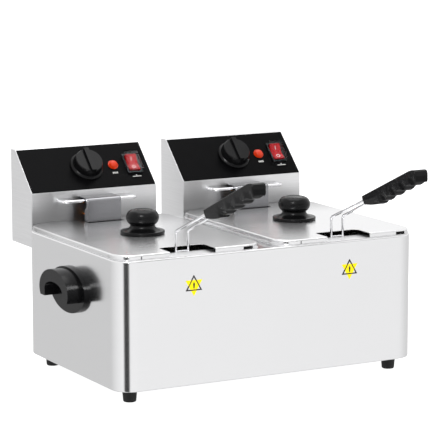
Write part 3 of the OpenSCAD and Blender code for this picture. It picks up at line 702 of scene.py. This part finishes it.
class FRYER_OT_lids(bpy.types.Operator):
    """Folds the lids with their slit skirts and adds their knobs"""

    bl_idname = "fryer.lids"
    bl_label = "Lids"

    def execute(self, context):
        colours = context.scene.fryer_colours
        # Satin stainless sheet, brushed across the lid: reflections blur into soft tones
        steel = sheet_metal("stainless_satin_lid", colours.satin, 0.25, 1.6, (80, 1.6, 1.6),
                            tint=0.02, depth=0.004, draw=0.5)
        # Painted shade: the lid's colour darkens towards the casing's rear, under the heads
        casing_rear = FRONT / MM + CASING_D
        painted_shade(steel, 0.5, ("Y", casing_rear, casing_rear - 130))
        # Phenolic knob: black, with a soft sheen on its turned shape
        knob = phenolic(colours)
        bend = context.scene.fryer_sizes.lid_bend / MM
        for side in SIDES:
            low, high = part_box(f"lid_{side}")
            half = (high.x - low.x) / 2 / MM
            y0, y1 = (low.y - FRONT) / MM, (high.y - FRONT) / MM
            base, top, r = low.z / MM, high.z / MM, TANK_R
            notch, deep, round_r, rear, rear_y = 37, 41, 7, 30.5, 283.5
            cut, cut_w = 34, 1.6

            def arc(cx, cy, start, steps=12):
                return [((cx + r * math.cos(a), cy + r * math.sin(a)),
                         (math.cos(a), math.sin(a)), False)
                        for a in (math.radians(start + 90 * i / steps)
                                  for i in range(steps + 1))]

            def line(*stations):
                """Points along the skirt: x, y, outward normal and whether it is slit here."""
                return [((x, y), n, slit) for x, y, n, slit in stations]

            out, left, back, right = (0, -1), (-1, 0), (0, 1), (1, 0)
            corner = arc(half - r, y0 + r, -90)
            corner = [(p, n, i < 3) for i, (p, n, _) in enumerate(corner)]
            right_run = (
                line((notch, y0, out, False), (half - cut, y0, out, True)) + corner
                + line((half, y0 + cut, right, True), (half, y0 + cut + cut_w, right, False),
                       (half, y1 - cut, right, True), (half, y1 - cut + cut_w, right, False))
                + arc(half - r, y1 - r, 0) + line((rear, y1, back, False)))
            left_run = (
                line((-rear, y1, back, False)) + arc(-half + r, y1 - r, 90)
                + line((-half, y1 - cut + cut_w, left, True), (-half, y1 - cut, left, False),
                       (-half, y0 + cut + cut_w, left, True), (-half, y0 + cut, left, False))
                + arc(-half + r, y0 + r, 180)
                + line((-half + cut, y0, out, True), (-half + cut + cut_w, y0, out, False),
                       (-notch, y0, out, False)))
            verts, faces, edge = [], [], []
            steps = 5
            for run in (right_run, left_run):
                columns = []
                for (x, y), (nx, ny), _ in run:
                    column = []
                    for k in range(steps + 1):
                        a = math.radians(90 * k / steps)
                        inset = bend * (1 - math.sin(a))
                        column.append((x - nx * inset, y - ny * inset,
                                       top - bend * (1 - math.cos(a))))
                    column.append((x, y, base))
                    columns.append(range(len(verts), len(verts) + len(column)))
                    verts += column
                edge += [c[0] for c in columns]
                for i, (a, b) in enumerate(zip(columns, columns[1:])):
                    last = steps if run[i][2] else steps + 1
                    faces += [[a[k], b[k], b[k + 1], a[k + 1]] for k in range(last)]
                if run is right_run:
                    edge += range(len(verts), len(verts) + 2)
                    verts += [(rear, rear_y, top), (-rear, rear_y, top)]
            curve = [(-notch + round_r * (1 - math.cos(a)), deep - round_r * (1 - math.sin(a)))
                     for a in (math.radians(18 * i) for i in range(6))]
            curve += [(-x, y) for x, y in reversed(curve)]
            edge += range(len(verts), len(verts) + len(curve))
            verts += [(x, y, top) for x, y in curve]
            faces.append(edge)
            verts, faces = in_row((verts, faces), unit_x(side))
            lid = made(f"lid_folded_{side}", verts, faces, f"lid_{side}",
                       steel, [f"lid_{side}"], smooth=32)
            skin = lid.modifiers.new("sheet", "SOLIDIFY")
            skin.thickness = MM
            skin.offset = -1
            even_normals(lid)
            dress(f"lid_knob_{side}", knob, 0.4, 40)
        return {"FINISHED"}


# ---------- control heads ----------


class FRYER_OT_heads(bpy.types.Operator):
    """Dresses the control heads and prints the marks on their panels"""

    bl_idname = "fryer.heads"
    bl_label = "Control heads"

    def execute(self, context):
        colours = context.scene.fryer_colours
        # Brushed stainless sheet: fine level lines that spread light up and down
        steel = sheet_metal("stainless_brushed_head", colours.satin, 0.3, 1.4,
                            (70, 70, 1.4), tint=0.03, depth=0.006, draw=0.7)
        # Painted shade: the head's front face darkens towards the deck, while the steel behind
        # the face keeps its colour
        face = FRONT / MM + HEAD_FACE
        painted_shade(steel, 0.6, ("Z", DECK + 15, SLOPE_Z - 8), ("Y", face + 1, face + 3))
        # Polyester film, printed from behind: flat black with a satin skin
        film = moulded("polyester_film_black", colours.film, 0.3, 0.6, 0.01, mottle=0.1,
                       Specular_IOR_Level=0.03)
        white = moulded("ink_white_printed", linear("#d9d9d6"), 0.5, 2.0, 0.01, mottle=0.05)
        brown = moulded("phenolic_brown", linear("#4a2a18"), 0.4, 1.0, 0.03)
        cream = moulded("steatite_glazed", linear("#d8cfb8"), 0.3, 1.5, 0.02, mottle=0.08)
        # Four short bars under the lamp, and a long one with a short one over it
        marks = [(41 + 2.4 * i, 42.2 + 2.4 * i, 26.4, 29.6) for i in range(4)]
        marks += [(72, 87, 17.6, 18.6), (78.9, 80.1, 19.4, 21.8)]
        for side in SIDES:
            dress(f"housing_{side}", steel, 0.4, 40)
            dress(f"back_cover_{side}", steel, 0.3, 40)
            dress(f"control_label_{side}", film)
            dress(f"thermostat_{side}", cream)
            dress(f"limiter_{side}", brown, 0.3)
            dress(f"terminal_block_{side}", cream)
            dress(f"cable_gland_{side}", nylon(), 0.4)
            dress(f"interlock_switch_{side}", nylon())
            dress(f"head_screws_{side}", plated(), 0.15)
            parts = []
            for x0, x1, y0, y1 in marks:
                ring = [(x0, y0), (x1, y0), (x1, y1), (x0, y1)]
                parts.append(loft([[on_panel(unit_x(side), x, y, z) for x, y in ring]
                                   for z in (0.5, 0.56)], caps=True))
            verts, faces = join(parts)
            made(f"panel_marks_{side}", verts, faces, f"head_{side}", white)
        return {"FINISHED"}


class FRYER_OT_controls(bpy.types.Operator):
    """Dresses knobs, lamps, rockers, covers and reset buttons, and marks the rockers"""

    bl_idname = "fryer.controls"
    bl_label = "Controls"

    def execute(self, context):
        colours = context.scene.fryer_colours
        # Polycarbonate lens: clear red that glows where light gathers at its edge
        lens = moulded("polycarbonate_red_lens", colours.lamp, 0.12, 3.0, 0.01, mottle=0.12,
                       Transmission_Weight=0.15, Specular_IOR_Level=0.3,
                       Emission_Color=linear("#f05a10"), Emission_Strength=0.1)
        # Polished ABS rocker: strong red under a gloss
        red = moulded("abs_red_polished", colours.red, 0.2, 4.0, 0.01, mottle=0.08,
                      Specular_IOR_Level=0.25)
        white = moulded("ink_white_filled", linear("#f0e8e4"), 0.4, 2.0, 0.01, mottle=0.03)
        # Clear PVC splash cover: almost invisible but for its bright edges
        clear = moulded("pvc_clear_moulded", linear("#f4f6f8"), 0.04, 5.0, 0.01, mottle=0.01,
                        Transmission_Weight=1.0, IOR=1.15)
        for side in SIDES:
            dress(f"knob_{side}", phenolic(colours), 0.7, 35, 3)
            dress(f"knob_shaft_{side}", plated())
            dress(f"heat_lamp_{side}", lens)
            dress(f"switch_body_{side}", nylon(), 0.3)
            dress(f"rocker_{side}", red, 0.5)
            dress(f"switch_cover_{side}", clear, 0.4)
            dress(f"reset_button_{side}", red, 0.4)
            x0 = unit_x(side) + 79.5
            middle = SLOPE_L / 2
            face = -1.5

            def top(y):
                """Height of the rocker's dished face off the panel."""
                t = y / 14
                return face + 3.6 + 3.4 * t * t + 1.5 * t

            bar = []
            for i in range(7):
                y = 4.2 + i
                bar.append([on_panel(x0, x, middle + y, top(y) + z) for x, z in
                            ((-0.45, 0.02), (0.45, 0.02), (0.45, 0.12), (-0.45, 0.12))])
            circle = []
            for i in range(24):
                a = 2 * math.pi * i / 24
                circle.append([
                    on_panel(x0, r * math.cos(a), middle - 7.5 + r * math.sin(a),
                             top(-7.5 + r * math.sin(a)) + z)
                    for r, z in ((2.3, 0.02), (3.1, 0.02), (3.1, 0.12), (2.3, 0.12))])
            verts, faces = join([loft(bar, caps=True), loft(circle, closed_run=True)])
            made(f"rocker_marks_{side}", verts, faces, f"rocker_{side}", white)
        return {"FINISHED"}


class FRYER_OT_heaters(bpy.types.Operator):
    """Folds the guards and dresses the heaters, sensors and hanging rods"""

    bl_idname = "fryer.heaters"
    bl_label = "Heaters"

    def execute(self, context):
        colours = context.scene.fryer_colours
        # Stainless sheet greyer than the head behind it: its darker grey is painted shade
        guard_shaded_steel = sheet_metal("stainless_guard_painted_shade", linear("#98989b"), 0.24, 1.4,
                             (70, 70, 1.4), tint=0.04, depth=0.006)
        # Chromium plate on drawn rod: mirror bright
        chrome = sheet_metal("chromium_plated_rod", linear("#ececee"), 0.08, 1.0,
                             (3, 3, 3), tint=0.01, depth=0.0)
        # Heater sheath: steel browned and matt from the hot oil
        sheath = sheet_metal("sheath_oxidised", linear("#6a6660"), 0.42, 1.2, (9, 9, 9),
                             tint=0.2)
        copper = sheet_metal("copper_drawn", colours.copper, 0.3, 0.8, (6, 6, 6), tint=0.12)
        bend = context.scene.fryer_sizes.guard_bend / MM
        for side in SIDES:
            low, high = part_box(f"element_guard_{side}")
            half = (high.x - low.x) / 2 / MM
            y0, y1 = (low.y - FRONT) / MM, (high.y - FRONT) / MM
            base, top, t = low.z / MM, high.z / MM, 1.0
            profile = [(y0, base), (y0, top - bend)]
            profile += [(y0 + bend * (1 - math.cos(a)), top - bend * (1 - math.sin(a)))
                        for a in (math.radians(15 * i) for i in range(1, 7))]
            profile += [(y1, top)]
            inner = [(y1, top - t), (y0 + bend, top - t)]
            inner += [(y0 + bend - (bend - t) * math.sin(a),
                       top - bend + (bend - t) * math.cos(a))
                      for a in (math.radians(15 * i) for i in range(1, 7))]
            inner += [(y0 + t, base)]
            plate = loft([[(x, y, z) for y, z in profile + inner] for x in (-half, half)],
                         caps=True)
            # Side flanges with the arched way for the hanging rod
            arch_y, arch_z, arch_r = y0 + 14, DECK + 34.2, 8
            deep = y0 + 13
            flange = [(y0 + t, base), (deep, base), (deep, arch_z - arch_r + 0.3)]
            flange += [(arch_y - arch_r * math.sin(a), arch_z - arch_r * math.cos(a))
                       for a in (math.radians(12 + 12 * i) for i in range(14))]
            flange += [(deep, top - t), (y0 + t, top - t)]
            parts = [plate]
            for x in (-half, half - t):
                parts.append(loft([[(x + dx, y, z) for y, z in flange] for dx in (0, t)],
                                  caps=True))
            verts, faces = in_row(join(parts), unit_x(side))
            even_normals(made(f"guard_folded_{side}", verts, faces, f"head_{side}",
                              guard_shaded_steel, [f"element_guard_{side}"]))
            dress(f"hanger_rod_{side}", chrome)
            dress(f"element_{side}", sheath)
            dress(f"sensor_bulbs_{side}", copper)
        return {"FINISHED"}


# ---------- baskets ----------


def grip_sections():
    """Along the grip: distance, top, underside and its half width, in millimetres."""
    length, spans = 148, 74
    tip, fall, end = 19, 5.2, 6
    root, first_finger, finger = 40, 53, 27
    out = []
    for i in range(spans + 1):
        u = length * i / spans
        over = max(0.0, (u - length + tip) / tip)
        top = -fall * (1 - math.sqrt(max(0.0, 1 - over * over)))
        if u < root:
            low = -13 - 8.5 * math.sin(math.radians(u / root * 90))
            narrow = 9.5 - 2.5 * u / root
        else:
            wave = math.cos(math.radians((u - first_finger) / finger * 360))
            low = -19.4 - 2.1 * (abs(wave) ** 0.6) * (1 if wave > 0 else -1)
            narrow = 8.0 - 2.2 * wave
        if u > length - end:
            low = -21 + 9 * ((u - length + end) / end) ** 4
            narrow = 9.5
        out.append((u, top, low, narrow))
    return out


class FRYER_OT_baskets(bpy.types.Operator):
    """Weaves the baskets and bends their handles"""

    bl_idname = "fryer.baskets"
    bl_label = "Baskets"

    def execute(self, context):
        sizes = context.scene.fryer_sizes
        # Nickel-plated wire mesh: bright, a little yellow beside the chromium
        wire = sheet_metal("nickel_plated_wire", linear("#d2cfc8"), 0.2, 1.0, (4, 4, 4))
        chrome = bpy.data.materials["chromium_plated_rod"]
        pitch, thin = sizes.mesh_pitch / MM, sizes.mesh_wire / MM / 2
        for side in SIDES:
            low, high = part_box(f"basket_{side}")
            half = (high.x - low.x) / 2 / MM
            y1 = (high.y - FRONT) / MM
            y0 = y1 - 222
            base, top = low.z / MM, high.z / MM
            rim_r, skin, r, foot = 2.0, 3, 17, 4
            parts = []
            rim = [(x, y, top - rim_r) for x, y in rounded(
                -half + rim_r, y0 + rim_r, half - rim_r, y1 - rim_r, r + 1)]
            parts.append(tube(rim, rim_r, 8, closed=True))
            wall = rounded(-half + skin, y0 + skin, half - skin, y1 - skin, r, 6)
            rows = int((top - base - 4) / pitch)
            for i in range(rows + 1):
                z = base + thin + (top - base - 4 - thin) * i / rows
                inset = max(0.0, 4 - 2 * i)
                ring = rounded(-half + skin + inset, y0 + skin + inset, half - skin - inset,
                               y1 - skin - inset, r - inset, 6)
                parts.append(tube([(x, y, z) for x, y in ring], thin, 5, closed=True))
            length = 0.0
            ahead = 0.0
            for a, b in zip(wall, wall[1:] + wall[:1]):
                a, b = Vector(a), Vector(b)
                run = (b - a).length
                while ahead <= length + run:
                    p = a.lerp(b, (ahead - length) / run)
                    parts.append(tube([(p.x, p.y, base + foot), (p.x, p.y, top - rim_r)],
                                      thin, 5))
                    ahead += pitch
                length += run
            inner_x, inner_y0, inner_y1 = half - skin, y0 + skin, y1 - skin

            def chord(depth):
                """How far a wire near a corner stops short of the straight wall."""
                return r - math.sqrt(max(0.0, r * r - (r - depth) ** 2)) if depth < r else 0.0

            count = int(2 * inner_x / pitch)
            for i in range(1, count):
                x = -inner_x + 2 * inner_x * i / count
                cut = chord(inner_x - abs(x))
                near, far = inner_y0 + cut, inner_y1 - cut
                path = [(x, near, base + foot), (x, near + foot, base + thin * 2),
                        (x, far - foot, base + thin * 2), (x, far, base + foot)]
                parts.append(tube(path, thin, 5))
            count = int((inner_y1 - inner_y0) / pitch)
            for i in range(1, count):
                y = inner_y0 + (inner_y1 - inner_y0) * i / count
                cut = chord(min(y - inner_y0, inner_y1 - y))
                far = inner_x - cut
                path = [(-far, y, base + foot), (-far + foot, y, base + thin),
                        (far - foot, y, base + thin), (far, y, base + foot)]
                parts.append(tube(path, thin, 5))
            verts, faces = in_row(join(parts), unit_x(side))
            made(f"basket_woven_{side}", verts, faces, f"basket_{side}", wire,
                 [f"basket_{side}"], smooth=60)
            self.handle(side, chrome, sizes)
        return {"FINISHED"}

    def handle(self, side, chrome, sizes):
        tilt = math.radians(23.2)
        wire_y, bend_z, wire_r = 36.5, DECK + 30.4, 2.0
        reach, above, sunk, wide = 87.5, 6.5, 60, 11
        root_y = wire_y - reach + above * math.sin(tilt)
        root_z = bend_z + reach * math.tan(tilt) + above * math.cos(tilt)

        def on_grip(x, u, v):
            return (x, root_y - u * math.cos(tilt) + v * math.sin(tilt),
                    root_z + u * math.sin(tilt) + v * math.cos(tilt))

        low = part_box(f"handle_wires_{side}")[0].z / MM + wire_r + 0.1
        half, near = 10, 6.4
        path = [on_grip(-near, sunk, -above), (-half, wire_y, bend_z), (-half, wire_y, low),
                (half, wire_y, low), (half, wire_y, bend_z), on_grip(near, sunk, -above)]
        parts = [tube(rounded_path(path, 7, 8), wire_r, 12),
                 tube([(-half, wire_y, RIM), (half, wire_y, RIM)], 1.4, 10)]
        verts, faces = in_row(join(parts), unit_x(side))
        made(f"handle_bent_{side}", verts, faces, f"basket_{side}", chrome,
             [f"handle_wires_{side}"], smooth=60)

        rings = []
        for u, top, under, narrow in grip_sections():
            middle = (top + under) / 2
            outline = [(-wide, top), (-wide, middle), (-narrow, under), (narrow, under),
                       (wide, middle), (wide, top)]
            rings.append([on_grip(x, u, v) for x, v in outline])
        verts, faces = in_row(loft(rings, caps=True), unit_x(side))
        grip = made(f"grip_moulded_{side}", verts, faces, f"basket_{side}",
                    phenolic(bpy.context.scene.fryer_colours), [f"grip_{side}"], smooth=14)
        soft = grip.modifiers.new("edges", "BEVEL")
        soft.width = sizes.grip_edge
        soft.segments = 2
        soft.limit_method = "ANGLE"
        soft.angle_limit = math.radians(50)
        even_normals(grip)


# ---------- add-on ----------


class FRYER_PT_panel(bpy.types.Panel):
    """Lists the fryer's sizes, colours and builders"""

    bl_idname = "FRYER_PT_panel"
    bl_label = "Fryer"
    bl_space_type = "VIEW_3D"
    bl_region_type = "UI"
    bl_category = "Fryer"

    def draw(self, context):
        for group in (context.scene.fryer_sizes, context.scene.fryer_colours):
            box = self.layout.box()
            for key in group.__annotations__:
                box.prop(group, key)
        for operator in OPERATORS:
            self.layout.operator(operator.bl_idname)


OPERATORS = (
    FRYER_OT_stage,
    FRYER_OT_casing,
    FRYER_OT_side_handles,
    FRYER_OT_labels,
    FRYER_OT_tanks,
    FRYER_OT_lids,
    FRYER_OT_heads,
    FRYER_OT_controls,
    FRYER_OT_heaters,
    FRYER_OT_baskets,
)
CLASSES = (FryerSizes, FryerColours, *OPERATORS, FRYER_PT_panel)


def register():
    for each in CLASSES:
        bpy.utils.register_class(each)
    bpy.types.Scene.fryer_sizes = bpy.props.PointerProperty(type=FryerSizes)
    bpy.types.Scene.fryer_colours = bpy.props.PointerProperty(type=FryerColours)


def unregister():
    del bpy.types.Scene.fryer_colours
    del bpy.types.Scene.fryer_sizes
    for each in reversed(CLASSES):
        bpy.utils.unregister_class(each)


def main():
    register()
    bpy.ops.fryer.stage()
    bpy.ops.fryer.casing()
    bpy.ops.fryer.side_handles()
    bpy.ops.fryer.labels()
    bpy.ops.fryer.tanks()
    bpy.ops.fryer.lids()
    bpy.ops.fryer.heads()
    bpy.ops.fryer.controls()
    bpy.ops.fryer.heaters()
    bpy.ops.fryer.baskets()


if __name__ == "__main__":
    main()
